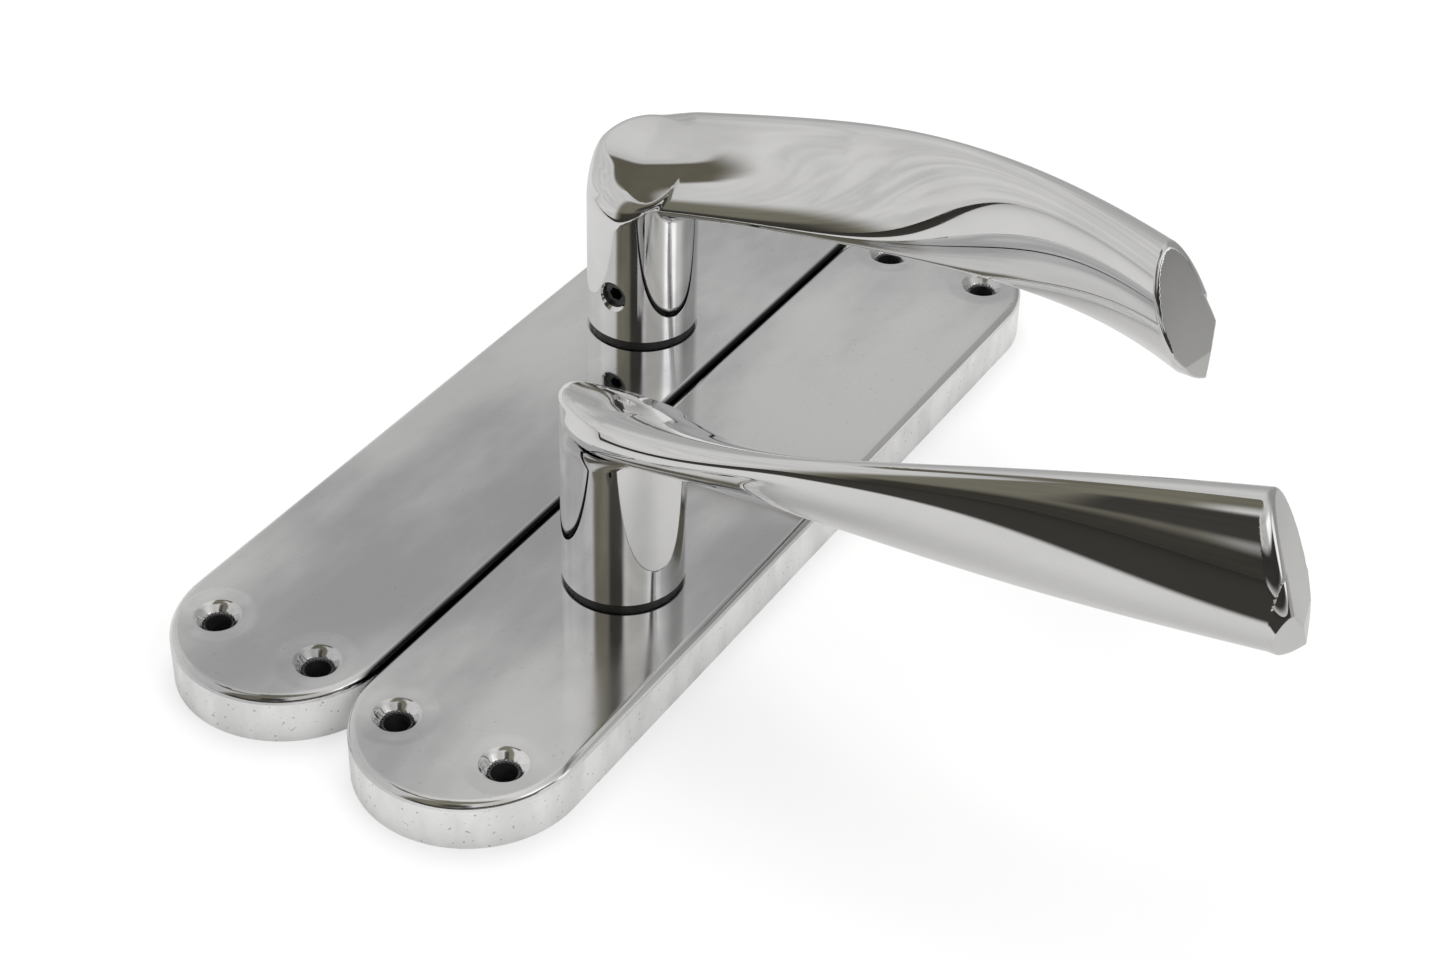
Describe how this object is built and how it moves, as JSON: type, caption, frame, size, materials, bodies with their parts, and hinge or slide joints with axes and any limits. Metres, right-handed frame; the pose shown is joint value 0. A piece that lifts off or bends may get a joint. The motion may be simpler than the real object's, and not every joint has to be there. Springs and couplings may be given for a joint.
{
  "type": "door lever handle",
  "caption": "Pair of opposite-handed sprung lever handles with twisted blades on long round-ended backplates.",
  "frame": {"origin": "the outside handle's spindle axis at the door face", "axes": "+Z out of the door, +X along the levers, Y along the backplates"},
  "size_m": [0.1803, 0.1984, 0.0681],
  "materials": {
    "chrome_plate": "polished chrome plate on cast zinc",
    "chrome_lever": "mirror polished chrome plate",
    "black_nylon": "moulded nylon",
    "dark_steel": "black oxide",
    "zinc_plated": "bright zinc plated sheet",
    "spring_steel": "bare spring steel"
  },
  "bodies": {
    "plates": {"outside_backplate": "chrome_plate", "outside_bush": "black_nylon", "outside_thrust_washer": "zinc_plated", "outside_return_spring": "spring_steel", "outside_spring_cover": "zinc_plated", "outside_cover_screws": "zinc_plated", "inside_backplate": "chrome_plate", "inside_bush": "black_nylon", "inside_thrust_washer": "zinc_plated", "inside_return_spring": "spring_steel", "inside_spring_cover": "zinc_plated", "inside_cover_screws": "zinc_plated"},
    "outside_handle": {"outside_lever": "chrome_lever", "outside_grub_screw": "dark_steel", "outside_drive_plate": "zinc_plated", "outside_wave_washer": "spring_steel", "outside_circlip": "dark_steel"},
    "inside_handle": {"inside_lever": "chrome_lever", "inside_grub_screw": "dark_steel", "inside_drive_plate": "zinc_plated", "inside_wave_washer": "spring_steel", "inside_circlip": "dark_steel"}
  },
  "joints": [
    {"name": "outside_lever_turn", "type": "hinge", "parent": "plates", "child": "outside_handle", "pos_m": [0, 0, 0], "axis": [0, 0, -1], "range_deg": [-15, 50], "stiffness_Nm_per_rad": 0.8, "deforming": ["outside_return_spring"]},
    {"name": "inside_lever_turn", "type": "hinge", "parent": "plates", "child": "inside_handle", "pos_m": [-0.0403, 0.0682, 0], "axis": [0, 0, 1], "range_deg": [-15, 50], "stiffness_Nm_per_rad": 0.8, "deforming": ["inside_return_spring"]}
  ]
}
